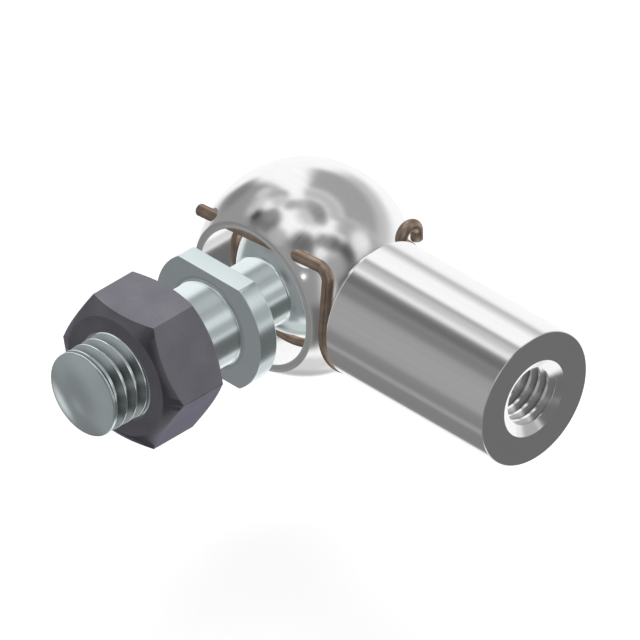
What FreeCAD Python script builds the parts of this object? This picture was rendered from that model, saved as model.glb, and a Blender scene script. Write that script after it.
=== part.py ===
import FreeCAD, Part
import Sketcher
import math
import os
import re

# Angle ball joint, in millimetres.
# The origin is the centre of the ball. The socket's shank runs along +X, the stud along -Y, and +Z is up.
# A depth is a distance from the ball's centre towards the nut, along -Y.

Vector = FreeCAD.Vector

doc = FreeCAD.newDocument("AngleBallJoint")
sheet = doc.addObject("Spreadsheet::Sheet", "Sizes")

sizes = [
    # socket housing
    ("head_radius", 12.0, "outside of the round head"),
    ("neck_radius", 6.7, "floor of the groove between the head and the shank"),
    ("shank_radius", 8.0, "outside of the shank"),
    ("shank_length", 35.0, "ball centre to the shank's end face"),
    ("rim_chamfer", 0.15, "on the shank's edge at the groove"),
    ("mouth_rim", 0.894, "width of the flat ring round the mouth"),
    ("seat_clearance", 0.05, "ball to its seat"),
    ("bore_clearance", 0.55, "ball to the wall of the bore"),
    ("rod_core_diameter", 6.65, "core of the rod's thread"),
    ("rod_thread_length", 18.0, "depth of the tapped hole, without its drill point"),
    ("rod_drill_angle", 118.0, "full angle of the drill point"),
    ("rod_sink_diameter", 9.16, "countersink at the tapped hole's mouth"),
    ("rod_sink_angle", 120.0, "full angle of the countersink"),
    # snap ring
    ("ring_wire", 1.0, "thickness of the snap ring's wire"),
    ("ring_depth", 2.9, "depth of the snap ring's middle plane"),
    ("ring_clearance", 0.3, "snap ring to the ball"),
    ("groove_clearance", 0.1, "snap ring to its groove"),
    ("ring_opening", 40.0, "angle between the snap ring's two ends"),
    ("ring_opening_side", 45.0, "direction of that opening, from +X towards +Z"),
    # safety bow
    ("bow_wire", 1.2, "thickness of the safety bow's wire"),
    ("bow_clearance", 0.03, "bow to the head, to the neck and to the rim"),
    ("leg_clearance", 0.15, "leg to its two holes in the head's wall"),
    ("leg_inset", 1.3, "mouth face to the leg's centre line"),
    ("leg_gap", 1.53, "leg to the ball"),
    ("leg_slope", 5.2, "rise of the leg towards the shank, in degrees"),
    ("hole_lean", 0.8, "slope of the leg less the slope of its two holes, in degrees"),
    ("leg_tail", 2.5, "free end of the leg, out of the head"),
    ("corner_radius", 1.4, "bend between the leg and the loop"),
    ("hook_start", 50.0, "angle where the loop turns back, from +Y towards +Z"),
    ("hook_radius", 1.25, "bend of the hook at the loop's end"),
    ("hook_tail", 1.3, "straight end of the hook"),
    # ball stud
    ("ball_radius", 7.5, "ball"),
    ("stud_neck_radius", 4.0, "neck between the ball and the collar"),
    ("stud_neck_fillet", 0.5, "between the ball and the neck"),
    ("collar_depth", 12.3, "ball centre to the collar's near face"),
    ("collar_thickness", 2.5, "collar along the stud"),
    ("collar_radius", 8.0, "round sides of the collar"),
    ("collar_flats", 13.0, "across the collar's two spanner flats"),
    ("collar_fillet", 0.3, "at both roots of the collar"),
    ("thread_radius", 5.0, "crest of the stud's thread, and its plain shoulder"),
    ("lever_thickness", 5.8, "room between the collar and the nut"),
    ("thread_end", 4.85, "thread that stands out of the nut"),
    ("dome_height", 1.0, "crown on the stud's end"),
    # hex nut
    ("nut_flats", 16.0, "across the nut's flats"),
    ("nut_height", 8.4, "nut along the stud"),
    ("nut_face_step", 0.85, "nut's flats to the circle that the corner chamfers leave"),
    ("nut_chamfer_angle", 30.0, "slope of the corner chamfers"),
    ("nut_clearance", 0.05, "nut's bore to the thread's crest"),
    ("nut_sink", 0.4, "countersink at both ends of the nut's bore"),
]
for row, (alias, value, remark) in enumerate(sizes, start=1):
    sheet.set(f"A{row}", remark)
    sheet.set(f"B{row}", str(value))
    sheet.setAlias(f"B{row}", alias)
doc.recompute()

aliases = [alias for alias, value, remark in sizes]


def bound(text):
    """The text with each size's name replaced by its cell."""
    return re.sub(r"[a-z]\w*", lambda word: f"Sizes.{word[0]}" if word[0] in aliases else word[0], text)


def number(text):
    """The present value of an expression in the sizes."""
    return float(sheet.evalExpression(bound(text)))


def tie(item, **properties):
    """Bind properties of an object to expressions in the sizes."""
    for name, text in properties.items():
        item.setExpression(name, bound(text))


# Sizes that follow from others
seat_radius = "(ball_radius + seat_clearance)"
bore_radius = "(ball_radius + bore_clearance)"
mouth_depth = f"sqrt(head_radius^2 - ({bore_radius} + mouth_rim)^2)"
ring_radius = "sqrt((ball_radius + ring_clearance + ring_wire / 2)^2 - ring_depth^2)"
groove_radius = f"({ring_radius} + ring_wire / 2 + groove_clearance)"
groove_half_width = "(ring_wire / 2 + groove_clearance)"
bow_gap = "(bow_wire / 2 + bow_clearance)"
loop_radius = f"(neck_radius + {bow_gap})"
loop_across = f"sqrt((head_radius + {bow_gap})^2 - {loop_radius}^2)"
rim_across = f"({loop_across} + {bow_gap})"
leg_hole_diameter = "(bow_wire + 2 * leg_clearance)"
leg_depth = f"({mouth_depth} - leg_inset)"
leg_radius = "(ball_radius + bow_wire / 2 + leg_gap)"
leg_height = f"sqrt({leg_radius}^2 - {leg_depth}^2)"
leg_reach = f"(sqrt(head_radius^2 - {leg_radius}^2) + leg_tail)"
collar_front = "(collar_depth + collar_thickness)"
nut_near = f"({collar_front} + lever_thickness)"
nut_far = f"({nut_near} + nut_height)"
thread_tip = f"({nut_far} + thread_end)"
dome_radius = "((thread_radius^2 + dome_height^2) / (2 * dome_height))"
nut_corner = "(nut_flats / sqrt(3))"
nut_face_radius = "(nut_flats / 2 - nut_face_step)"


def new_body(name):
    body = doc.addObject("PartDesign::Body", name)
    body.Label = name
    return body


def new_sketch(body, name, role):
    """An empty sketch on one of the body's own origin planes."""
    plane = next(item for item in body.Origin.OriginFeatures if item.Role == role)
    sketch = body.newObject("Sketcher::SketchObject", name)
    sketch.AttachmentSupport = (plane, [""])
    sketch.MapMode = "FlatFace"
    return sketch


def hold(sketch, side, end, across, up):
    """Dimension one point of a sketch from the origin. None leaves that direction free."""
    for kind, text, axis in (("DistanceX", across, -2), ("DistanceY", up, -1)):
        if text == "0":
            sketch.addConstraint(Sketcher.Constraint("PointOnObject", side, end, axis))
        elif text is not None:
            place = Sketcher.Constraint(kind, -1, 1, side, end, number(text))
            index = sketch.addConstraint(place)
            sketch.setExpression(f"Constraints[{index}]", bound(text))


def draw_loop(sketch, corners, arcs=None):
    """Draw a closed outline through the corners, each (across, up) as expressions.

    A third item, "across" or "up", names the one direction that is dimensioned: an arc settles the other.
    arcs holds, by the number of the side, the arc's centre and whether it runs clockwise.
    """
    arcs = arcs or {}
    first = sketch.GeometryCount
    points = [Vector(number(corner[0]), number(corner[1]), 0) for corner in corners]
    for index, start in enumerate(points):
        end = points[(index + 1) % len(points)]
        if index in arcs:
            across, up, clockwise = arcs[index]
            centre = Vector(number(across), number(up), 0)
            begin, finish = (end, start) if clockwise else (start, end)
            angles = [math.atan2(point.y - centre.y, point.x - centre.x) for point in (begin, finish)]
            circle = Part.Circle(centre, Vector(0, 0, 1), centre.distanceToPoint(start))
            sketch.addGeometry(Part.ArcOfCircle(circle, *angles), False)
        else:
            sketch.addGeometry(Part.LineSegment(start, end), False)
    for index, corner in enumerate(corners):
        following = (index + 1) % len(corners)
        clockwise = index in arcs and arcs[index][2]
        next_clockwise = following in arcs and arcs[following][2]
        ends = (1 if clockwise else 2, 2 if next_clockwise else 1)
        joint = Sketcher.Constraint("Coincident", first + index, ends[0], first + following, ends[1])
        sketch.addConstraint(joint)
        only = corner[2] if len(corner) > 2 else None
        across = None if only == "up" else corner[0]
        up = None if only == "across" else corner[1]
        hold(sketch, first + index, 2 if clockwise else 1, across, up)
        if index in arcs:
            hold(sketch, first + index, 3, arcs[index][0], arcs[index][1])


def draw_circle(sketch, diameter):
    circle = Part.Circle(Vector(0, 0, 0), Vector(0, 0, 1), number(diameter) / 2)
    side = sketch.addGeometry(circle, False)
    sketch.addConstraint(Sketcher.Constraint("Coincident", side, 3, -1, 1))
    index = sketch.addConstraint(Sketcher.Constraint("Diameter", side, number(diameter)))
    sketch.setExpression(f"Constraints[{index}]", bound(diameter))


def turned(body, kind, name, sketch, axis):
    """A Revolution or Groove of a sketch by a full turn about H_Axis or V_Axis."""
    feature = body.newObject(f"PartDesign::{kind}", name)
    feature.Profile = sketch
    feature.ReferenceAxis = (sketch, [axis])
    feature.Angle = 360
    return feature


def circle_edges(shape, places):
    """Names of the full circles about the Y axis whose (radius, depth) is in places."""
    names = []
    for index, edge in enumerate(shape.Edges, start=1):
        if not edge.Degenerated and isinstance(edge.Curve, Part.Circle):
            here = (edge.Curve.Radius, -edge.Curve.Center.y)
            if any(math.dist(here, place) < 0.001 for place in places):
                names.append(f"Edge{index}")
    return names


# Socket housing: one steel piece, a round head with a turned shank. The groove between them holds the bow.
housing = new_body("socket_housing")
outside = new_sketch(housing, "housing_profile", "XY_Plane")
draw_loop(
    outside,
    [
        ("-head_radius", "0"),
        ("sqrt(head_radius^2 - neck_radius^2)", "neck_radius", "up"),
        (rim_across, "neck_radius"),
        (rim_across, "shank_radius - rim_chamfer"),
        (f"{rim_across} + rim_chamfer", "shank_radius"),
        ("shank_length", "shank_radius"),
        ("shank_length", "0"),
    ],
    {0: ("0", "0", True)},
)
turned(housing, "Revolution", "housing_turned", outside, "H_Axis")

# The head is faced flat round the mouth. The cut ends between the head's edge and the shank's rim.
facing = new_sketch(housing, "mouth_face_profile", "XY_Plane")
facing_reach = f"(({bore_radius} + mouth_rim + {rim_across}) / 2)"
draw_loop(
    facing,
    [
        ("0", f"-{mouth_depth}"),
        (facing_reach, f"-{mouth_depth}"),
        (facing_reach, "-head_radius - seat_clearance"),
        ("0", "-head_radius - seat_clearance"),
    ],
)
turned(housing, "Groove", "mouth_face", facing, "V_Axis")

# The bore runs from the mouth to the ball's equator. The ball's seat behind it is a hemisphere.
seat = new_sketch(housing, "ball_seat_profile", "XY_Plane")
draw_loop(
    seat,
    [
        ("0", f"-{mouth_depth} - seat_clearance"),
        (bore_radius, f"-{mouth_depth} - seat_clearance"),
        (bore_radius, "0"),
        (seat_radius, "0"),
        ("0", seat_radius, "across"),
    ],
    {3: ("0", "0", False)},
)
turned(housing, "Groove", "ball_seat", seat, "V_Axis")

# The snap ring's groove in the bore
ring_slot = new_sketch(housing, "ring_groove_profile", "XY_Plane")
slot_inside = f"({bore_radius} - groove_clearance)"
draw_loop(
    ring_slot,
    [
        (slot_inside, f"-ring_depth - {groove_half_width}"),
        (groove_radius, f"-ring_depth - {groove_half_width}"),
        (groove_radius, f"-ring_depth + {groove_half_width}"),
        (slot_inside, f"-ring_depth + {groove_half_width}"),
    ],
)
turned(housing, "Groove", "ring_groove", ring_slot, "V_Axis")

# Two holes in line through the head's wall, for the bow's leg
leg_hole = new_sketch(housing, "leg_hole_profile", "YZ_Plane")
leg_hole.AttachmentOffset = FreeCAD.Placement(Vector(0, 0, 0), FreeCAD.Rotation(Vector(-1, 0, 0), 1))
leg_hole.setExpression("AttachmentOffset.Base.x", bound(f"-{leg_depth}"))
leg_hole.setExpression("AttachmentOffset.Base.y", bound(leg_height))
leg_hole.setExpression("AttachmentOffset.Rotation.Angle", bound("leg_slope - hole_lean"))
draw_circle(leg_hole, leg_hole_diameter)
leg_holes = housing.newObject("PartDesign::Pocket", "leg_holes")
leg_holes.Profile = leg_hole
leg_holes.SideType = "Symmetric"
tie(leg_holes, Length="2 * head_radius")

# The tapped hole for the rod, with its countersink. Its wall is the thread's core.
rod_hole = new_sketch(housing, "rod_hole_profile", "XY_Plane")
rod_core = "(rod_core_diameter / 2)"
rod_sink = "(rod_sink_diameter / 2)"
sink_depth = f"(({rod_sink} - {rod_core}) / tan(rod_sink_angle * 1deg / 2))"
point_depth = f"({rod_core} / tan(rod_drill_angle * 1deg / 2))"
draw_loop(
    rod_hole,
    [
        (f"shank_length - rod_thread_length - {point_depth}", "0"),
        ("shank_length - rod_thread_length", rod_core),
        (f"shank_length - {sink_depth}", rod_core),
        ("shank_length", rod_sink),
        ("shank_length", "0"),
    ],
)
turned(housing, "Groove", "rod_thread", rod_hole, "H_Axis")

# Snap ring: an open ring of round wire just past the ball's equator. It keeps the ball in its seat.
snap_ring = doc.addObject("Part::Torus", "snap_ring")
snap_ring.Label = "snap_ring"
tie(snap_ring, Radius1=ring_radius, Radius2="ring_wire / 2", Angle3="360 - ring_opening")
lay_flat = FreeCAD.Rotation(Vector(1, 0, 0), 90)
first_end = FreeCAD.Rotation(Vector(0, 0, 1), number("ring_opening_side + ring_opening / 2"))
snap_ring.Placement = FreeCAD.Placement(Vector(0, 0, 0), lay_flat * first_end)
snap_ring.setExpression("Placement.Base.y", bound("-ring_depth"))

# Safety bow: one springy wire. Its leg goes through the head's wall and past the ball's neck, its loop
# lies in the groove round the shank, and its end is turned back to a hook.
leg_across = Vector(1, 0, 0)
leg_direction = FreeCAD.Rotation(Vector(0, -1, 0), number("leg_slope")).multVec(leg_across)
leg_middle = Vector(0, -number(leg_depth), number(leg_height))
loop_place = number(loop_across)
loop_size = number(loop_radius)


def on_circle(radius, degrees, up=0, back=0):
    """A point of a circle in the loop's plane, from its centre, with 0 degrees at +Y and 90 at +Z."""
    angle = math.radians(degrees)
    return Vector(loop_place, back + radius * math.cos(angle), up + radius * math.sin(angle))


def arc_edge(start, middle, end):
    return Part.Arc(start, middle, end).toShape()


def line_edge(start, end):
    return Part.LineSegment(start, end).toShape()


free_end = leg_middle - leg_direction * (number(leg_reach) / leg_direction.x)
corner = leg_middle + leg_direction * (loop_place / leg_direction.x)
corner_distance = math.hypot(corner.y, corner.z)
corner_angle = math.degrees(math.atan2(corner.z, corner.y))
contact_angle = corner_angle + math.degrees(math.acos(loop_size / corner_distance))
contact = on_circle(loop_size, contact_angle)

# The bend at the corner touches the leg and the straight drop to the loop.
drop_direction = (contact - corner).normalize()
half_turn = drop_direction.getAngle(leg_direction) / 2
bend_size = number("corner_radius")
bend_start = corner - leg_direction * bend_size * math.tan(half_turn)
bend_end = corner + drop_direction * bend_size * math.tan(half_turn)
bend_inward = (drop_direction - leg_direction).normalize()
bend_middle = corner + bend_inward * bend_size * (1 / math.cos(half_turn) - 1)

# The loop runs under the shank and up its far side, then turns back over itself.
hook_angle = number("hook_start") + 360
loop_end = on_circle(loop_size, hook_angle)
loop_middle = on_circle(loop_size, (contact_angle + hook_angle) / 2)
hook_size = number("hook_radius")
hook_centre = on_circle(loop_size + hook_size, hook_angle)
hook_end = on_circle(hook_size, 0, hook_centre.z, hook_centre.y)
hook_middle = on_circle(hook_size, (hook_angle - 180) / 2, hook_centre.z, hook_centre.y)
hook_tip = hook_end - Vector(0, 0, number("hook_tail"))

bow_path = doc.addObject("Part::Feature", "bow_path")
bow_path.Shape = Part.Wire(
    [
        line_edge(free_end, bend_start),
        arc_edge(bend_start, bend_middle, bend_end),
        line_edge(bend_end, contact),
        arc_edge(contact, loop_middle, loop_end),
        arc_edge(loop_end, hook_middle, hook_end),
        line_edge(hook_end, hook_tip),
    ]
)
bow_section = doc.addObject("Part::Circle", "bow_section")
tie(bow_section, Radius="bow_wire / 2")
bow_section.Placement = FreeCAD.Placement(free_end, FreeCAD.Rotation(Vector(0, 0, 1), leg_direction))
safety_bow = doc.addObject("Part::Sweep", "safety_bow")
safety_bow.Label = "safety_bow"
safety_bow.Sections = [bow_section]
safety_bow.Spine = (bow_path, [f"Edge{index + 1}" for index in range(len(bow_path.Shape.Edges))])
safety_bow.Solid = True

# Ball stud: ball, neck, collar with two spanner flats, and a threaded end with a crown.
stud = new_body("ball_stud")
stud_profile = new_sketch(stud, "stud_profile", "XY_Plane")
draw_loop(
    stud_profile,
    [
        ("0", "ball_radius", "across"),
        ("0", f"-{thread_tip} - dome_height", "across"),
        ("thread_radius", f"-{thread_tip}"),
        ("thread_radius", f"-{collar_front}"),
        ("collar_radius", f"-{collar_front}"),
        ("collar_radius", "-collar_depth"),
        ("stud_neck_radius", "-collar_depth"),
        ("stud_neck_radius", "-sqrt(ball_radius^2 - stud_neck_radius^2)"),
    ],
    {
        1: ("0", f"-{thread_tip} - dome_height + {dome_radius}", False),
        7: ("0", "0", False),
    },
)
stud_turned = turned(stud, "Revolution", "stud_turned", stud_profile, "V_Axis")

flats_sketch = new_sketch(stud, "collar_flats_profile", "YZ_Plane")
flat_height = "(collar_flats / 2)"
flat_reach = "(collar_radius + collar_fillet)"
for side in ("", "-"):
    draw_loop(
        flats_sketch,
        [
            ("-collar_depth + collar_fillet", f"{side}{flat_height}"),
            (f"-{collar_front} - collar_fillet", f"{side}{flat_height}"),
            (f"-{collar_front} - collar_fillet", f"{side}{flat_reach}"),
            ("-collar_depth + collar_fillet", f"{side}{flat_reach}"),
        ],
    )
spanner_flats = stud.newObject("PartDesign::Pocket", "collar_flats")
spanner_flats.Profile = flats_sketch
spanner_flats.SideType = "Symmetric"
tie(spanner_flats, Length="2 * collar_radius + 2 * collar_fillet")
doc.recompute()

neck_root = (number("stud_neck_radius"), number("sqrt(ball_radius^2 - stud_neck_radius^2)"))
neck_fillet = stud.newObject("PartDesign::Fillet", "neck_fillet")
neck_fillet.Base = (spanner_flats, circle_edges(spanner_flats.Shape, [neck_root]))
tie(neck_fillet, Radius="stud_neck_fillet")
doc.recompute()

collar_roots = [
    (number("stud_neck_radius"), number("collar_depth")),
    (number("thread_radius"), number(collar_front)),
]
collar_fillets = stud.newObject("PartDesign::Fillet", "collar_fillets")
collar_fillets.Base = (neck_fillet, circle_edges(neck_fillet.Shape, collar_roots))
tie(collar_fillets, Radius="collar_fillet")

# Hex nut: a hexagon with chamfered corners on both faces, which clamps the lever to the collar.
nut = new_body("hex_nut")
hexagon = new_sketch(nut, "nut_hexagon", "XZ_Plane")
hexagon.setExpression("AttachmentOffset.Base.z", bound(nut_near))
draw_loop(
    hexagon,
    [
        (nut_corner, "0"),
        (f"{nut_corner} / 2", "nut_flats / 2"),
        (f"-{nut_corner} / 2", "nut_flats / 2"),
        (f"-{nut_corner}", "0"),
        (f"-{nut_corner} / 2", "-nut_flats / 2"),
        (f"{nut_corner} / 2", "-nut_flats / 2"),
    ],
)
nut_block = nut.newObject("PartDesign::Pad", "nut_block")
nut_block.Profile = hexagon
tie(nut_block, Length="nut_height")

corner_cuts = new_sketch(nut, "nut_chamfer_profile", "XY_Plane")
cut_reach = f"({nut_corner} + nut_sink)"
cut_depth = f"(({cut_reach} - {nut_face_radius}) * tan(nut_chamfer_angle * 1deg))"
for face, inward in ((nut_near, "-"), (nut_far, "+")):
    draw_loop(
        corner_cuts,
        [
            (nut_face_radius, f"-{face}"),
            (cut_reach, f"-{face}"),
            (cut_reach, f"-{face} {inward} {cut_depth}"),
        ],
    )
turned(nut, "Groove", "nut_chamfers", corner_cuts, "V_Axis")

bore_profile = new_sketch(nut, "nut_bore_profile", "XY_Plane")
nut_bore_radius = "(thread_radius + nut_clearance)"
draw_loop(
    bore_profile,
    [
        ("0", f"-{nut_near}"),
        (f"{nut_bore_radius} + nut_sink", f"-{nut_near}"),
        (nut_bore_radius, f"-{nut_near} - nut_sink"),
        (nut_bore_radius, f"-{nut_far} + nut_sink"),
        (f"{nut_bore_radius} + nut_sink", f"-{nut_far}"),
        ("0", f"-{nut_far}"),
    ],
)
turned(nut, "Groove", "nut_bore", bore_profile, "V_Axis")
doc.recompute()

# Every object is sound, every cut removed material, and every piece is one valid solid.
for item in doc.Objects:
    if "Invalid" in item.State or "Error" in item.State:
        raise RuntimeError(f"{item.Name} did not build: {item.State}")
    if item.TypeId in ("PartDesign::Groove", "PartDesign::Pocket"):
        if item.Shape.Volume >= item.BaseFeature.Shape.Volume - 0.001:
            raise RuntimeError(f"{item.Name} cut nothing")

pieces = [housing, snap_ring, safety_bow, stud, nut]
for piece in pieces:
    shape = piece.Shape
    if shape.isNull() or not shape.isValid() or len(shape.Solids) != 1:
        raise RuntimeError(f"{piece.Label} is not one valid solid")

os.makedirs("parts", exist_ok=True)
for piece in pieces:
    piece.Shape.exportStep(f"parts/{piece.Label}.step")
    print(piece.Label, round(piece.Shape.Volume, 2), piece.Shape.BoundBox)
print("corner bend", bend_size, "loop", round(loop_size, 3), "hook", hook_size)
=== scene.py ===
import bpy
import math
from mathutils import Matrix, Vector


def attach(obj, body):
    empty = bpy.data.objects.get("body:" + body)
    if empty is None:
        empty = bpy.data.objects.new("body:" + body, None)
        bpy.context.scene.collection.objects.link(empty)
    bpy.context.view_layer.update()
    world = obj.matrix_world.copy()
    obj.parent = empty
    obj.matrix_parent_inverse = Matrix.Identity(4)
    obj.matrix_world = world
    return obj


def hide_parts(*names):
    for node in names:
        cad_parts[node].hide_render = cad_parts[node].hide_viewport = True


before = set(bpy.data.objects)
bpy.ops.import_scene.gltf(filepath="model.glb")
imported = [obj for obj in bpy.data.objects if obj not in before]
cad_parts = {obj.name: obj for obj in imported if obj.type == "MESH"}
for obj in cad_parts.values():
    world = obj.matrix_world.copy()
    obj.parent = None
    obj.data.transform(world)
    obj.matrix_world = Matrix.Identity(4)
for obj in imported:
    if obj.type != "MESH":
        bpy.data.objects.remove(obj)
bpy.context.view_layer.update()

# The ball's centre is the origin, the shank runs along +X, the stud along -Y, +Z is up.
# Sizes are in millimetres, and a depth runs from the ball's centre along -Y.
mm = 0.001
mergeGap = 0.0005  # points closer than this become one
planeGap = 0.00001  # points this near to a cutting plane lie on it
shankAxis = Vector((1, 0, 0))
studAxis = Vector((0, -1, 0))


def clearSelection():
    if bpy.context.object and bpy.context.object.mode != "OBJECT":
        bpy.ops.object.mode_set(mode="OBJECT")
    bpy.ops.object.select_all(action="DESELECT")


def activate(piece):
    clearSelection()
    piece.select_set(True)
    bpy.context.view_layer.objects.active = piece


def alongShank(place, radius):
    return Vector((place, 0, radius)) * mm


def alongStud(place, radius):
    return Vector((radius, -place, 0)) * mm


def arcPoints(centre, radius, start, end, count):
    # points of an arc in a turning profile, angles from the axis in degrees
    points = []
    for step in range(count + 1):
        angle = math.radians(start + (end - start) * step / count)
        points.append((centre[0] + radius * math.cos(angle), centre[1] + radius * math.sin(angle)))
    return points


def drawOutline(name, points):
    # one vertex drawn out from point to point
    clearSelection()
    bpy.ops.mesh.primitive_plane_add(size=mm, location=(0, 0, 0))
    piece = bpy.context.object
    piece.name = name
    bpy.ops.object.mode_set(mode="EDIT")
    bpy.ops.mesh.select_mode(type="VERT")
    bpy.ops.mesh.select_all(action="SELECT")
    bpy.ops.mesh.merge(type="CENTER")
    bpy.ops.transform.translate(value=points[0])
    for before, after in zip(points, points[1:]):
        bpy.ops.mesh.extrude_region_move(TRANSFORM_OT_translate={"value": after - before})
    return piece


def closeMesh():
    bpy.ops.mesh.select_all(action="SELECT")
    bpy.ops.mesh.remove_doubles(threshold=mergeGap * mm)
    bpy.ops.mesh.normals_make_consistent(inside=False)
    bpy.ops.object.mode_set(mode="OBJECT")


def turnOnLathe(name, place, axis, profile, steps=192):
    piece = drawOutline(name, [place(*point) for point in profile])
    bpy.ops.mesh.select_all(action="SELECT")
    bpy.ops.mesh.spin(steps=steps, angle=2 * math.pi, center=(0, 0, 0), axis=axis)
    closeMesh()
    return piece


def rollThread(name, axisName, start, end, settings, steps=96):
    # one pitch of the thread's outline, wound up by a Screw modifier and cut square at both ends
    place, direction, way = (alongShank, shankAxis, 1) if axisName == "X" else (alongStud, studAxis, -1)
    pitch = settings["pitch"]
    core, crest = settings["coreRadius"], settings["crestRadius"]
    flank = (crest - core) * math.tan(math.radians(settings["flankAngle"]))
    top = (pitch - 2 * flank) * settings["crestShare"]
    low = pitch - 2 * flank - top
    outline = [(0, core), (low, core), (low + flank, crest), (low + flank + top, crest), (pitch, core)]
    spareTurns = 2  # at each end, for the cuts
    first = start - spareTurns * pitch
    piece = drawOutline(name, [place(first + along, radius) for along, radius in outline])
    bpy.ops.object.mode_set(mode="OBJECT")
    bpy.ops.object.modifier_add(type="SCREW")
    screw = piece.modifiers[-1]
    screw.axis = axisName
    screw.angle = 2 * math.pi
    screw.screw_offset = pitch * mm * way
    screw.iterations = math.ceil((end - start) / pitch) + 2 * spareTurns
    screw.steps = screw.render_steps = steps
    screw.use_merge_vertices = True
    screw.merge_threshold = mergeGap * mm
    bpy.ops.object.modifier_apply(modifier=screw.name)
    bpy.ops.object.mode_set(mode="EDIT")
    for cut, outward in ((start, -1), (end, 1)):
        bpy.ops.mesh.select_all(action="SELECT")
        bpy.ops.mesh.bisect(
            plane_co=direction * cut * mm, plane_no=direction * outward, use_fill=True, clear_outer=True,
            threshold=planeGap * mm)
    closeMesh()
    return piece


def combine(piece, tool, operation):
    activate(piece)
    bpy.ops.object.modifier_add(type="BOOLEAN")
    change = piece.modifiers[-1]
    change.operation = operation
    change.solver = "EXACT"
    change.object = tool
    bpy.ops.object.modifier_apply(modifier=change.name)
    bpy.data.objects.remove(tool)


def breakEdges(piece, width, angle=25, segments=2):
    activate(piece)
    bpy.ops.object.modifier_add(type="BEVEL")
    edge = piece.modifiers[-1]
    edge.limit_method = "ANGLE"
    edge.angle_limit = math.radians(angle)
    edge.width = width * mm
    edge.segments = segments
    edge.use_clamp_overlap = True
    bpy.ops.object.modifier_apply(modifier=edge.name)


def smooth(piece, angle=28):
    activate(piece)
    bpy.ops.object.shade_smooth_by_angle(angle=math.radians(angle))
    bpy.ops.object.modifier_add(type="WEIGHTED_NORMAL")
    weight = piece.modifiers[-1]
    weight.keep_sharp = True
    weight.weight = 80
    bpy.ops.object.modifier_apply(modifier=weight.name)


# Sizes of what fits together. The bow's wire is 1.2 in the solids.
fits = {
    "headRadius": 12.0, "neckRadius": 6.7, "boreRadius": 8.05, "seatRadius": 7.55, "ballRadius": 7.5,
    "mouthDepth": 8.0, "legDepth": 6.7, "legGap": 1.53, "legSlope": 5.2,  # the slope is in degrees
    "ringDepth": 2.9, "ringWire": 1.0, "ringClearance": 0.3, "bowWire": 1.4, "bowClearance": 0.03,
    "threadRadius": 5.0,
}
bowGap = fits["bowWire"] / 2 + fits["bowClearance"]
loopRadius = fits["neckRadius"] + bowGap
loopAcross = math.sqrt((fits["headRadius"] + bowGap) ** 2 - loopRadius ** 2)
rimAcross = loopAcross + bowGap
ringReach = fits["ballRadius"] + fits["ringClearance"] + fits["ringWire"] / 2
ringRadius = math.sqrt(ringReach ** 2 - fits["ringDepth"] ** 2)
legRadius = fits["ballRadius"] + fits["bowWire"] / 2 + fits["legGap"]
legTilt = math.radians(fits["legSlope"])
legDirection = Vector((math.cos(legTilt), 0, math.sin(legTilt)))
legMiddle = Vector((0, -fits["legDepth"], math.sqrt(legRadius ** 2 - fits["legDepth"] ** 2)))

# Socket housing: the head is turned about the stud's axis, the shank about its own
housing = {
    # the mouth's broken edges: the head's arc stops short of the face by mouthTurn degrees
    "mouthTurn": 0.6, "mouthEdge": 0.1, "rimDrop": 0.02, "rimSwell": 0.005, "boreEdge": 0.12, "boreMiddle": 0.03,
    "grooveHalfWidth": 0.6, "grooveDepth": 0.6,
    # the shank begins inside the head's wall, at plugStart
    "shankRadius": 8.0, "shankLength": 35.0, "rimChamfer": 0.15, "endEdge": 0.08, "plugStart": 8.6,
    "sinkRadius": 4.58, "coreRadius": 3.325, "sinkDepth": 0.725, "holeEnd": 17.0, "pointEnd": 15.0,
    "threadRunOut": 0.6, "tapPastEnd": 1,
    # holeLean is the leg's slope less the slope of its two holes
    "legHole": 1.7, "legHoleLength": 26, "holeLean": 0.8,
}
rodThread = {"pitch": 1.25, "coreRadius": 3.335, "crestRadius": 4.0, "crestShare": 0.33, "flankAngle": 30}

mouth, bore = fits["mouthDepth"], fits["boreRadius"]
mouthAngle = math.degrees(math.acos(mouth / fits["headRadius"]))
mouthRadius = fits["headRadius"] * math.sin(math.radians(mouthAngle))
grooveNear = fits["ringDepth"] + housing["grooveHalfWidth"]
grooveFar = fits["ringDepth"] - housing["grooveHalfWidth"]
grooveRadius = ringRadius + housing["grooveDepth"]
headProfile = arcPoints((0, 0), fits["headRadius"], 180, mouthAngle + housing["mouthTurn"], 88)
headProfile += [
    (mouth - housing["rimDrop"], mouthRadius + housing["rimSwell"]),
    (mouth, mouthRadius - housing["mouthEdge"]),
    (mouth, bore + housing["boreEdge"]),
    (mouth - housing["boreMiddle"], bore + housing["boreMiddle"]),
    (mouth - housing["boreEdge"], bore),
    (grooveNear, bore),
    (grooveNear, grooveRadius),
    (grooveFar, grooveRadius),
    (grooveFar, bore),
    (0, bore),
]
headProfile += arcPoints((0, 0), fits["seatRadius"], 90, 180, 48)
socketHousing = turnOnLathe("socketHousing", alongStud, studAxis, headProfile, 256)

end = housing["shankLength"]
shankProfile = [
    (housing["plugStart"], 0),
    (housing["plugStart"], fits["neckRadius"]),
    (rimAcross, fits["neckRadius"]),
    (rimAcross, housing["shankRadius"] - housing["rimChamfer"]),
    (rimAcross + housing["rimChamfer"], housing["shankRadius"]),
    (end - housing["endEdge"], housing["shankRadius"]),
    (end, housing["shankRadius"] - housing["endEdge"]),
    (end, housing["sinkRadius"]),
    (end - housing["sinkDepth"], housing["coreRadius"]),
    (housing["holeEnd"], housing["coreRadius"]),
    (housing["pointEnd"], 0),
]
shank = turnOnLathe("shank", alongShank, shankAxis, shankProfile, 256)
threadTap = rollThread(
    "threadTap", "X", housing["holeEnd"] + housing["threadRunOut"], end + housing["tapPastEnd"], rodThread)
combine(shank, threadTap, "DIFFERENCE")
combine(socketHousing, shank, "UNION")

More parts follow.
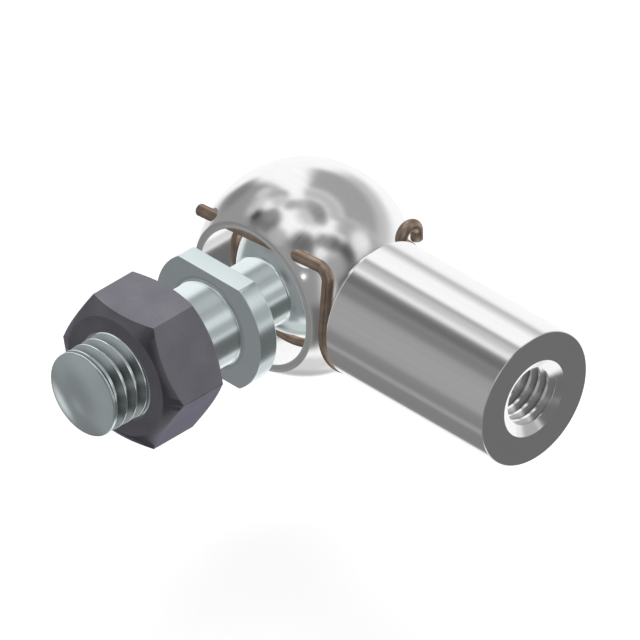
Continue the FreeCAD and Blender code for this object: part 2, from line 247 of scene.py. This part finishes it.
clearSelection()
bpy.ops.mesh.primitive_cylinder_add(
    vertices=48, radius=housing["legHole"] / 2 * mm, depth=housing["legHoleLength"] * mm, location=legMiddle * mm,
    rotation=(0, math.radians(90 - fits["legSlope"] + housing["holeLean"]), 0))
legDrill = bpy.context.object
combine(socketHousing, legDrill, "DIFFERENCE")
smooth(socketHousing)
print("socket housing", len(socketHousing.data.polygons), "faces")

# Spring wires: a circle pushed along straights and spun round the bends
wireTip = ((0.05, 0.7, 0.88), (0.13, 0.88, 1.0))  # steps of a rounded end: length, outer and inner share of the size
tipLength = sum(step[0] for step in wireTip)


def startWire(name, diameter, start, direction):
    clearSelection()
    turn = Vector((0, 0, 1)).rotation_difference(direction).to_euler()
    bpy.ops.mesh.primitive_circle_add(
        vertices=40, radius=diameter / 2 * wireTip[0][1] * mm, location=start * mm, rotation=turn)
    wire = bpy.context.object
    wire.name = name
    bpy.ops.object.transform_apply(location=True, rotation=True, scale=True)
    bpy.ops.object.mode_set(mode="EDIT")
    bpy.ops.mesh.select_all(action="SELECT")
    place = start.copy()
    for length, outer, inner in wireTip:
        pushWire(direction * length)
        place += direction * length
        resizeWire(inner / outer, place)
    return wire, place


def pushWire(move):
    bpy.ops.mesh.extrude_region_move(TRANSFORM_OT_translate={"value": move * mm})


def resizeWire(factor, place):
    bpy.ops.transform.resize(value=(factor, factor, factor), center_override=place * mm)


def bendWire(centre, axis, angle, steps):
    # with no window a spin turns the other way, so the angle is negative
    bpy.ops.mesh.spin(steps=steps, angle=-angle, center=centre * mm, axis=axis)


def finishWire(wire, place, direction):
    for length, outer, inner in reversed(wireTip):
        pushWire(direction * length)
        place = place + direction * length
        resizeWire(outer / inner, place)
    bpy.ops.mesh.select_all(action="DESELECT")
    bpy.ops.mesh.select_mode(type="EDGE")
    bpy.ops.mesh.select_non_manifold()
    bpy.ops.mesh.fill_holes(sides=0)
    closeMesh()
    activate(wire)
    bpy.ops.object.shade_smooth_by_angle(angle=math.radians(50))


def onCircle(angle):
    # a direction across the shank, the angle counted from +Y
    return Vector((0, math.cos(angle), math.sin(angle)))


# Safety bow: leg through the head, corner, drop, loop round the neck, hook
bow = {
    "legTail": 2.5, "cornerRadius": 1.4, "cornerSteps": 14, "loopSteps": 90,
    "hookStart": 50.0, "hookRadius": 1.17, "hookTail": 1.2, "hookSteps": 30,
}
legReach = math.sqrt(fits["headRadius"] ** 2 - legRadius ** 2) + bow["legTail"]
freeEnd = legMiddle - legDirection * (legReach / legDirection.x)
corner = legMiddle + legDirection * (loopAcross / legDirection.x)
loopCentre = Vector((loopAcross, 0, 0))
cornerDistance = math.hypot(corner.y, corner.z)
cornerAngle = math.atan2(corner.z, corner.y)
contactAngle = cornerAngle + math.acos(loopRadius / cornerDistance)
contact = loopCentre + onCircle(contactAngle) * loopRadius
dropDirection = (contact - corner).normalized()
bendTurn = legDirection.angle(dropDirection)
setback = bow["cornerRadius"] * math.tan(bendTurn / 2)
bendAxis = legDirection.cross(dropDirection).normalized()
bendCentre = corner - legDirection * setback + bendAxis.cross(legDirection) * bow["cornerRadius"]
hookAngle = math.radians(bow["hookStart"] + 360)
hookCentre = loopCentre + onCircle(hookAngle) * (loopRadius + bow["hookRadius"])
hookEnd = hookCentre + Vector((0, bow["hookRadius"], 0))
hookStraight = Vector((0, 0, bow["hookTail"] - tipLength))

safetyBow, place = startWire("safetyBow", fits["bowWire"], freeEnd, legDirection)
pushWire(corner - legDirection * setback - place)
bendWire(bendCentre, bendAxis, bendTurn, bow["cornerSteps"])
pushWire(contact - corner - dropDirection * setback)
bendWire(loopCentre, shankAxis, hookAngle - contactAngle, bow["loopSteps"])
bendWire(hookCentre, -shankAxis, math.pi + math.radians(bow["hookStart"]), bow["hookSteps"])
pushWire(-hookStraight)
finishWire(safetyBow, hookEnd - hookStraight, Vector((0, 0, -1)))
print("safety bow", len(safetyBow.data.polygons), "faces")

# Snap ring: open on the side that the camera doesn't see
ring = {"opening": 40.0, "openingSide": 45.0, "steps": 120}
ringTurn = math.radians(360 - ring["opening"])
ringTipAngle = tipLength / ringRadius
ringCentre = Vector((0, -fits["ringDepth"], 0))
ringFirst = math.radians(ring["openingSide"] + ring["opening"] / 2)
ringLast = ringFirst + ringTurn - ringTipAngle


def ringOut(angle):
    return Vector((math.cos(angle), 0, math.sin(angle)))


def ringAhead(angle):
    return Vector((-math.sin(angle), 0, math.cos(angle)))


snapRing = startWire(
    "snapRing", fits["ringWire"], ringCentre + ringOut(ringFirst) * ringRadius, ringAhead(ringFirst))[0]
bendWire(ringCentre, studAxis, ringTurn - 2 * ringTipAngle, ring["steps"])
finishWire(snapRing, ringCentre + ringOut(ringLast) * ringRadius, ringAhead(ringLast))
print("snap ring", len(snapRing.data.polygons), "faces")

# Ball stud: one turned piece, a collar with two spanner flats, a rolled thread and a crowned end
stud = {
    "neckRadius": 4.0, "neckFillet": 0.5, "collarDepth": 12.3, "collarFront": 14.8, "collarRadius": 8.0,
    "collarFlats": 13.0, "collarFillet": 0.3, "collarInset": 0.3, "collarEdge": 0.12,
    # a thinner rod runs on inside the thread, which begins threadLead before its place
    "threadStart": 28.7, "threadLead": 0.4, "threadTip": 34.0, "rodRadius": 3.9, "rodLead": 0.2, "rodEnd": 0.8,
    # the crown is a dome with a round edge, set into the thread's end by its root
    "domeHeight": 0.85, "domeEdge": 0.25, "domeInset": 0.03, "edgeStart": 100,
    "crownLap": 0.20, "crownRoot": 0.5, "crownRootRadius": 4.2,
}
studThread = {"pitch": 1.5, "coreRadius": 4.08, "crestRadius": 4.97, "crestShare": 0.3, "flankAngle": 30}

front, back = stud["collarFront"], stud["collarDepth"]
tip, rodEnd = stud["threadTip"], stud["threadTip"] - stud["rodEnd"]
filletRadius = stud["neckRadius"] + stud["neckFillet"]
filletCentre = (math.sqrt((fits["ballRadius"] + stud["neckFillet"]) ** 2 - filletRadius ** 2), filletRadius)
filletAngle = math.degrees(math.atan2(filletCentre[1], filletCentre[0]))
rootFillet = stud["collarFillet"]
backRadius = stud["neckRadius"] + rootFillet
frontRadius = fits["threadRadius"] + rootFillet
studProfile = arcPoints((0, 0), fits["ballRadius"], 180, filletAngle, 72)
studProfile += arcPoints(filletCentre, stud["neckFillet"], 180 + filletAngle, 270, 8)[1:]
studProfile += arcPoints((back - rootFillet, backRadius), rootFillet, 270, 360, 6)
studProfile += [(back + stud["collarInset"], backRadius), (front - stud["collarInset"], frontRadius)]
studProfile += arcPoints((front + rootFillet, frontRadius), rootFillet, 180, 270, 6)
studProfile += [
    (stud["threadStart"], fits["threadRadius"]),
    (stud["threadStart"] + stud["rodLead"], stud["rodRadius"]),
    (rodEnd, stud["rodRadius"]),
    (rodEnd, 0),
]
ballStud = turnOnLathe("ballStud", alongStud, studAxis, studProfile, 192)

clearSelection()
bpy.ops.mesh.primitive_cylinder_add(
    vertices=192, radius=stud["collarRadius"] * mm, depth=(front - back) * mm,
    location=Vector((0, -(front + back) / 2, 0)) * mm, rotation=(math.pi / 2, 0, 0))
collar = bpy.context.object
bpy.ops.object.transform_apply(location=True, rotation=True, scale=True)
bpy.ops.object.mode_set(mode="EDIT")
for side in (-1, 1):
    bpy.ops.mesh.select_all(action="SELECT")
    bpy.ops.mesh.bisect(
        plane_co=Vector((0, 0, side * stud["collarFlats"] / 2)) * mm, plane_no=(0, 0, side),
        use_fill=True, clear_outer=True, threshold=planeGap * mm)
bpy.ops.object.mode_set(mode="OBJECT")
breakEdges(collar, stud["collarEdge"])
combine(ballStud, collar, "UNION")

crownBase = tip - stud["crownLap"]
domeRadius = (fits["threadRadius"] ** 2 + stud["domeHeight"] ** 2) / (2 * stud["domeHeight"])
domeCentre = tip + stud["domeHeight"] - domeRadius
edgeDistance = domeRadius - stud["domeEdge"]
edgeRadius = fits["threadRadius"] - stud["domeInset"] - stud["domeEdge"]
edgeAngle = math.degrees(math.asin(edgeRadius / edgeDistance))
edgeCentre = (domeCentre + edgeDistance * math.cos(math.radians(edgeAngle)), edgeRadius)
crownProfile = [(crownBase - stud["crownRoot"], 0), (crownBase - stud["crownRoot"], stud["crownRootRadius"])]
crownProfile += arcPoints(edgeCentre, stud["domeEdge"], stud["edgeStart"], edgeAngle, 10)
crownProfile += arcPoints((domeCentre, 0), domeRadius, edgeAngle, 0, 24)[1:]
crown = turnOnLathe("crown", alongStud, studAxis, crownProfile, 192)
thread = rollThread("thread", "Y", stud["threadStart"] - stud["threadLead"], crownBase, studThread)
combine(thread, crown, "UNION")
combine(ballStud, thread, "UNION")
smooth(ballStud)
print("ball stud", len(ballStud.data.polygons), "faces")

# Hex nut: a hexagonal block, chamfered and bored on the lathe
nut = {
    "flats": 16.0, "near": 20.6, "far": 29.0, "faceRadius": 7.15, "chamferAngle": 30.0, "boreRadius": 5.05,
    "sink": 0.25, "cornerEdge": 0.06, "smoothAngle": 20,
    "reach": 9.7, "blockExtra": 1,  # the lathe's cut clears the corners, the block is longer than the nut
}
near, far = nut["near"], nut["far"]
sinkRadius = nut["boreRadius"] + nut["sink"]
clearSelection()
bpy.ops.mesh.primitive_cylinder_add(
    vertices=6, radius=nut["flats"] / math.sqrt(3) * mm, depth=(far - near + nut["blockExtra"]) * mm,
    location=Vector((0, -(far + near) / 2, 0)) * mm, rotation=(math.pi / 2, math.pi / 6, 0))
hexNut = bpy.context.object
hexNut.name = "hexNut"
bpy.ops.object.transform_apply(location=True, rotation=True, scale=True)
chamferLength = (nut["reach"] - nut["faceRadius"]) * math.tan(math.radians(nut["chamferAngle"]))
latheCut = turnOnLathe("latheCut", alongStud, studAxis, [
    (near, sinkRadius),
    (near, nut["faceRadius"]),
    (near + chamferLength, nut["reach"]),
    (far - chamferLength, nut["reach"]),
    (far, nut["faceRadius"]),
    (far, sinkRadius),
    (far - nut["sink"], nut["boreRadius"]),
    (near + nut["sink"], nut["boreRadius"]),
    (near, sinkRadius),
], 192)
combine(hexNut, latheCut, "INTERSECT")
breakEdges(hexNut, nut["cornerEdge"], nut["smoothAngle"])
smooth(hexNut, nut["smoothAngle"])
print("hex nut", len(hexNut.data.polygons), "faces")


# Finishes
def latheMarks(nodes, links, turnAxis, pitch):
    # rings that a turning tool leaves: they follow the place along the axis plus the distance from it
    coords = nodes.new("ShaderNodeTexCoord")
    split = nodes.new("ShaderNodeSeparateXYZ")
    links.new(coords.outputs["Object"], split.inputs[0])
    around = [name for name in "XYZ" if name != turnAxis]
    flat = nodes.new("ShaderNodeCombineXYZ")
    for name in around:
        links.new(split.outputs[name], flat.inputs[name])
    length = nodes.new("ShaderNodeVectorMath")
    length.operation = "LENGTH"
    links.new(flat.outputs[0], length.inputs[0])
    total = nodes.new("ShaderNodeMath")
    total.operation = "ADD"
    links.new(split.outputs[turnAxis], total.inputs[0])
    links.new(length.outputs["Value"], total.inputs[1])
    rings = nodes.new("ShaderNodeTexNoise")
    rings.noise_dimensions = "1D"
    rings.inputs["Scale"].default_value = 1 / (pitch * mm)
    rings.inputs["Detail"].default_value = 3
    links.new(total.outputs[0], rings.inputs["W"])
    return coords, rings


def grain(nodes, links, coords, scale):
    # even scales give clouds, a small one gives marks drawn out along that axis
    stretch = nodes.new("ShaderNodeMapping")
    stretch.inputs["Scale"].default_value = scale
    links.new(coords.outputs["Object"], stretch.inputs["Vector"])
    noise = nodes.new("ShaderNodeTexNoise")
    noise.inputs["Scale"].default_value = 1
    noise.inputs["Detail"].default_value = 4
    links.new(stretch.outputs[0], noise.inputs["Vector"])
    return noise


def spread(nodes, links, source, low, high):
    # a noise, mostly between 0.3 and 0.7, laid between two values
    between = nodes.new("ShaderNodeMapRange")
    between.inputs["From Min"].default_value = 0.3
    between.inputs["From Max"].default_value = 0.7
    between.inputs["To Min"].default_value = low
    between.inputs["To Max"].default_value = high
    links.new(source, between.inputs["Value"])
    return between.outputs["Result"]


def tint(nodes, links, source, dark, light):
    mix = nodes.new("ShaderNodeMix")
    mix.data_type = "RGBA"
    mix.inputs["A"].default_value = (*dark, 1)
    mix.inputs["B"].default_value = (*light, 1)
    links.new(spread(nodes, links, source, 0, 1), mix.inputs["Factor"])
    return mix.outputs["Result"]


def paintShadeInHollows(nodes, links, colour, settings):
    # painted shade: threads, grooves and drilled holes have their base colour darkened by ambient occlusion, which
    # stands in for the shade that falls in them
    hollow = nodes.new("ShaderNodeAmbientOcclusion")
    hollow.only_local = True
    hollow.samples = 8
    hollow.inputs["Distance"].default_value = settings["paintedShadeReach"] * mm
    amount = nodes.new("ShaderNodeMapRange")
    amount.inputs["From Min"].default_value = 0.2
    amount.inputs["From Max"].default_value = settings["paintedShadeOpen"]
    amount.inputs["To Min"].default_value = settings["paintedShadeDark"]
    links.new(hollow.outputs["AO"], amount.inputs["Value"])
    mix = nodes.new("ShaderNodeMix")
    mix.data_type = "RGBA"
    mix.blend_type = "MULTIPLY"
    mix.inputs["Factor"].default_value = 1
    links.new(colour, mix.inputs["A"])
    links.new(amount.outputs["Result"], mix.inputs["B"])
    return mix.outputs["Result"]


def relief(nodes, links, shader, source, depth, strength):
    bump = nodes.new("ShaderNodeBump")
    bump.inputs["Distance"].default_value = depth * mm
    bump.inputs["Strength"].default_value = strength
    links.new(source, bump.inputs["Height"])
    links.new(bump.outputs["Normal"], shader.inputs["Normal"])


def turnedMetal(settings):
    finish = bpy.data.materials.new(settings["name"])
    finish.use_nodes = True
    nodes, links = finish.node_tree.nodes, finish.node_tree.links
    shader = nodes["Principled BSDF"]
    coords, rings = latheMarks(nodes, links, settings["axis"], settings["markPitch"])
    marks = grain(nodes, links, coords, settings["grain"])
    shader.inputs["Metallic"].default_value = 1
    shader.inputs["Specular Tint"].default_value = (*settings["edge"], 1)
    colour = tint(nodes, links, marks.outputs["Fac"], settings["dark"], settings["light"])
    # the base colour carries painted shade in threads, grooves and holes
    links.new(paintShadeInHollows(nodes, links, colour, settings), shader.inputs["Base Color"])
    links.new(spread(nodes, links, rings.outputs["Fac"], settings["roughLow"], settings["roughHigh"]),
              shader.inputs["Roughness"])
    relief(nodes, links, shader, rings.outputs["Fac"], settings["markDepth"], settings["markStrength"])
    return finish


polishedSteel = turnedMetal({
    "name": "polishedTurnedSteel", "edge": (1, 1, 1), "axis": "X", "markPitch": 0.12, "grain": (45, 2200, 2200),
    "dark": (0.925, 0.925, 0.93), "light": (0.955, 0.955, 0.955), "roughLow": 0.12, "roughHigh": 0.18,
    "markDepth": 0.002, "markStrength": 0.12, "paintedShadeReach": 5.0, "paintedShadeOpen": 0.5, "paintedShadeDark": 0.2,
})
zincPlate = turnedMetal({
    "name": "paleZincPlate", "edge": (1, 1, 1), "axis": "Y", "markPitch": 0.15, "grain": (220, 220, 220),
    "dark": (0.77, 0.86, 0.875), "light": (0.82, 0.91, 0.92), "roughLow": 0.17, "roughHigh": 0.24,
    "markDepth": 0.002, "markStrength": 0.08, "paintedShadeReach": 1.2, "paintedShadeOpen": 0.8, "paintedShadeDark": 0.1,
})
burnishedSteel = turnedMetal({
    "name": "darkBurnishedSteel", "edge": (0.4, 0.4, 0.45), "axis": "Y", "markPitch": 0.2, "grain": (300, 300, 300),
    "dark": (0.25, 0.245, 0.28), "light": (0.30, 0.295, 0.33), "roughLow": 0.26, "roughHigh": 0.31,
    "markDepth": 0.003, "markStrength": 0.07, "paintedShadeReach": 0.6, "paintedShadeOpen": 0.6, "paintedShadeDark": 0.4,
})
springBrown = turnedMetal({
    "name": "brownSpringWire", "edge": (0.45, 0.4, 0.4), "axis": "X", "markPitch": 0.3, "grain": (900, 900, 900),
    "dark": (0.40, 0.305, 0.235), "light": (0.56, 0.44, 0.35), "roughLow": 0.28, "roughHigh": 0.40,
    "markDepth": 0.004, "markStrength": 0.3, "paintedShadeReach": 0.5, "paintedShadeOpen": 0.6, "paintedShadeDark": 0.4,
})

for piece, finish, body, slot, node in (
        (socketHousing, polishedSteel, "socket", "housing_steel", "socket_housing"),
        (safetyBow, springBrown, "socket", "spring_wire", "safety_bow"),
        (snapRing, springBrown, "retaining_ring", "spring_wire", "snap_ring"),
        (ballStud, zincPlate, "stud", "zinc_steel", "ball_stud"),
        (hexNut, burnishedSteel, "nut", "dark_steel", "hex_nut")):
    piece.data.materials.clear()
    piece.data.materials.append(finish)
    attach(piece, body)
    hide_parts(node)
    piece.visible_glossy = False  # the studio is what the metal mirrors
print("pieces ride on their bodies")

# Studio: white all round, with soft dark and light zones that the metal mirrors. Angles are in degrees.
studio = {
    "white": 1.0,
    # azimuth, half width, lowest and highest elevation, softness and level of each upright card
    "cards": [
        (85, 32, 3, 26, 9, 0.55),
        (93, 38, 19, 56, 6, 0.36),
        (91, 46, 56, 69, 5, 0.50),
        (40, 15, 0, 60, 6, 0.42),
        (230, 69, -72, 62, 5, 0.31),
        (182, 17, 33, 58, 6, 0.48),
        (312, 20, -62, 66, 7, 0.29),
        (345, 12, 56, 62, 5, 0.40),
        (10, 52, -54, -6, 7, 0.15),
        (3, 17, -20, 34, 6, 0.15),
    ],
    # azimuth, elevation, half width, softness and level of each round shade
    "shades": [
        (60, 84, 12, 6, 0.60),
        (32, 75, 4, 5, 0.30), (60, 77, 5, 5, 0.24), (90, 77, 5, 5, 0.27), (120, 76, 4, 5, 0.34),
        (150, 76, 4, 5, 0.45), (176, 71, 4, 5, 0.38),
        (168, -22, 9, 8, 0.85), (168, 8, 7, 7, 0.22), (167, 54, 3, 4, 0.36), (176, 49, 3, 4, 0.40),
        (187, 45, 4, 6, 0.66), (189, 54, 4, 5, 0.95), (172, 37, 3, 5, 0.62), (178, 58, 4, 5, 0.60),
        (210, 45, 6, 5, 0.14), (203, 43, 4, 3, 0.02), (194, 37, 3, 4, 0.55), (221, 57, 10, 5, 0.17),
        (211, 58, 5, 5, 0.26), (224, 35, 5, 6, 0.21), (258, 55, 8, 6, 0.45), (233, 2, 16, 14, 0.36),
        (196, -51, 20, 6, 0.22), (228, -32, 10, 8, 0.23), (220, -41, 3, 3, 0.36), (195, -70, 9, 7, 0.10),
        (191, -43, 4, 4, 0.85), (0, -90, 15, 7, 0.68), (140, -66, 10, 6, 0.50),
        (272, 5, 12, 7, 0.05), (281, -20, 9, 6, 0.05), (281, -38, 9, 6, 0.05),
        (13, 37, 8, 6, 0.07), (4, 50, 7, 6, 0.12), (350, 57, 6, 6, 0.25), (37, 32, 8, 7, 0.85),
        (84, -53, 7, 8, 0.70), (308, 60, 10, 7, 0.14), (338, 47, 3, 5, 0.95), (350, 30, 11, 8, 0.36),
    ],
}
world = bpy.data.worlds.new("studio")
bpy.context.scene.world = world
world.use_nodes = True
nodes, links = world.node_tree.nodes, world.node_tree.links
background = nodes["Background"]
direction = nodes.new("ShaderNodeTexCoord").outputs["Generated"]
heading = direction
for operation, value in (("MULTIPLY", (1, 1, 0)), ("NORMALIZE", None)):
    step = nodes.new("ShaderNodeVectorMath")
    step.operation = operation
    links.new(heading, step.inputs[0])
    if value:
        step.inputs[1].default_value = value
    heading = step.outputs["Vector"]
height = nodes.new("ShaderNodeSeparateXYZ")
links.new(direction, height.inputs[0])


def toward(azimuth, elevation):
    azimuth, elevation = math.radians(azimuth), math.radians(elevation)
    return Vector((math.cos(elevation) * math.cos(azimuth), math.cos(elevation) * math.sin(azimuth),
                   math.sin(elevation)))


def facing(source, azimuth, elevation):
    cosine = nodes.new("ShaderNodeVectorMath")
    cosine.operation = "DOT_PRODUCT"
    cosine.inputs[1].default_value = toward(azimuth, elevation)
    links.new(source, cosine.inputs[0])
    return cosine.outputs["Value"]


def softEdge(source, start, end):
    edge = nodes.new("ShaderNodeMapRange")
    edge.interpolation_type = "SMOOTHSTEP"
    edge.inputs["From Min"].default_value = start
    edge.inputs["From Max"].default_value = end
    links.new(source, edge.inputs["Value"])
    return edge.outputs["Result"]


def softRound(source, width, softness):
    outer, inner = width + softness, max(width - softness, 0)
    return softEdge(source, math.cos(math.radians(outer)), math.cos(math.radians(inner)))


def both(first, second):
    product = nodes.new("ShaderNodeMath")
    product.operation = "MULTIPLY"
    links.new(first, product.inputs[0])
    links.new(second, product.inputs[1])
    return product.outputs[0]


def lay(colour, amount, level):
    layer = nodes.new("ShaderNodeMix")
    layer.data_type = "RGBA"
    layer.inputs["A"].default_value = (studio["white"], studio["white"], studio["white"], 1)
    if colour:
        links.new(colour, layer.inputs["A"])
    layer.inputs["B"].default_value = (level, level, level, 1)
    links.new(amount, layer.inputs["Factor"])
    return layer.outputs["Result"]


colour = None
for azimuth, width, low, high, softness, level in studio["cards"]:
    card = softRound(facing(heading, azimuth, 0), width, softness)
    for edge, way in ((low, 1), (high, -1)):
        start, full = math.radians(edge - way * softness), math.radians(edge + way * softness)
        card = both(card, softEdge(height.outputs["Z"], math.sin(start), math.sin(full)))
    colour = lay(colour, card, level)
for azimuth, elevation, width, softness, level in studio["shades"]:
    colour = lay(colour, softRound(facing(direction, azimuth, elevation), width, softness), level)
lightPath = nodes.new("ShaderNodeLightPath")
seen = nodes.new("ShaderNodeMix")
seen.data_type = "RGBA"
links.new(lightPath.outputs["Is Camera Ray"], seen.inputs["Factor"])
links.new(colour, seen.inputs["A"])
seen.inputs["B"].default_value = (1, 1, 1, 1)
links.new(seen.outputs["Result"], background.inputs["Color"])
print("studio of", len(studio["cards"]), "cards and", len(studio["shades"]), "shades")


def softLamp(name, settings):
    lamp = bpy.data.lights.new(name, "AREA")
    lamp.shape = "DISK"
    lamp.size = settings["size"]
    lamp.energy = settings["power"]
    toLamp = toward(settings["azimuth"], settings["elevation"])
    holder = bpy.data.objects.new(name, lamp)
    holder.location = toLamp * settings["distance"]
    holder.rotation_euler = (-toLamp).to_track_quat("-Z", "Y").to_euler()
    holder.visible_glossy = settings["mirrored"]
    bpy.context.scene.collection.objects.link(holder)


# angles in degrees, distance and size in metres, power in watts
softLamp("keyLamp", {"azimuth": 120, "elevation": 60, "distance": 0.6, "size": 0.3, "power": 0.6, "mirrored": False})
softLamp("smallLamp", {
    "azimuth": -47, "elevation": 25, "distance": 0.6, "size": 0.02, "power": 0.012, "mirrored": True})

# Plain pale floor, seen by the camera as near white with a faint shadow. Its height and size are in metres.
floor = {"height": -0.030, "size": 3.0, "glow": 0.6, "colour": (0.9, 0.9, 0.9), "roughness": 0.9, "shine": 0.1}
clearSelection()
bpy.ops.mesh.primitive_plane_add(size=floor["size"], location=(0, 0, floor["height"]))
studioFloor = bpy.context.object
studioFloor.name = "studioFloor"
pale = bpy.data.materials.new("paleFloor")
pale.use_nodes = True
nodes, links = pale.node_tree.nodes, pale.node_tree.links
shader = nodes["Principled BSDF"]
shader.inputs["Base Color"].default_value = (*floor["colour"], 1)
shader.inputs["Roughness"].default_value = floor["roughness"]
shader.inputs["Specular IOR Level"].default_value = floor["shine"]
shader.inputs["Emission Color"].default_value = (1, 1, 1, 1)
path = nodes.new("ShaderNodeLightPath")
glow = nodes.new("ShaderNodeMath")
glow.operation = "MULTIPLY"
glow.inputs[1].default_value = floor["glow"]
links.new(path.outputs["Is Camera Ray"], glow.inputs[0])
links.new(glow.outputs[0], shader.inputs["Emission Strength"])
studioFloor.data.materials.append(pale)
studioFloor.visible_glossy = False

# Camera: isometric, with no perspective. The clip distances are in metres.
view = {
    "pixels": 640, "pixelsPerMm": 9.25, "target": (3.483, -1.235, -4.718), "distance": 200.0,
    "clipNear": 0.01, "clipFar": 5,
}
toViewer = Vector((1, -1, 1)).normalized()
camera = bpy.data.cameras.new("isometricCamera")
camera.type = "ORTHO"
camera.ortho_scale = view["pixels"] / view["pixelsPerMm"] * mm
camera.clip_start, camera.clip_end = view["clipNear"], view["clipFar"]
holder = bpy.data.objects.new("isometricCamera", camera)
holder.location = (Vector(view["target"]) + toViewer * view["distance"]) * mm
holder.rotation_euler = (-toViewer).to_track_quat("-Z", "Y").to_euler()
bpy.context.scene.collection.objects.link(holder)
bpy.context.scene.camera = holder
bpy.context.scene.view_settings.view_transform = "Standard"
print("floor and camera ready")
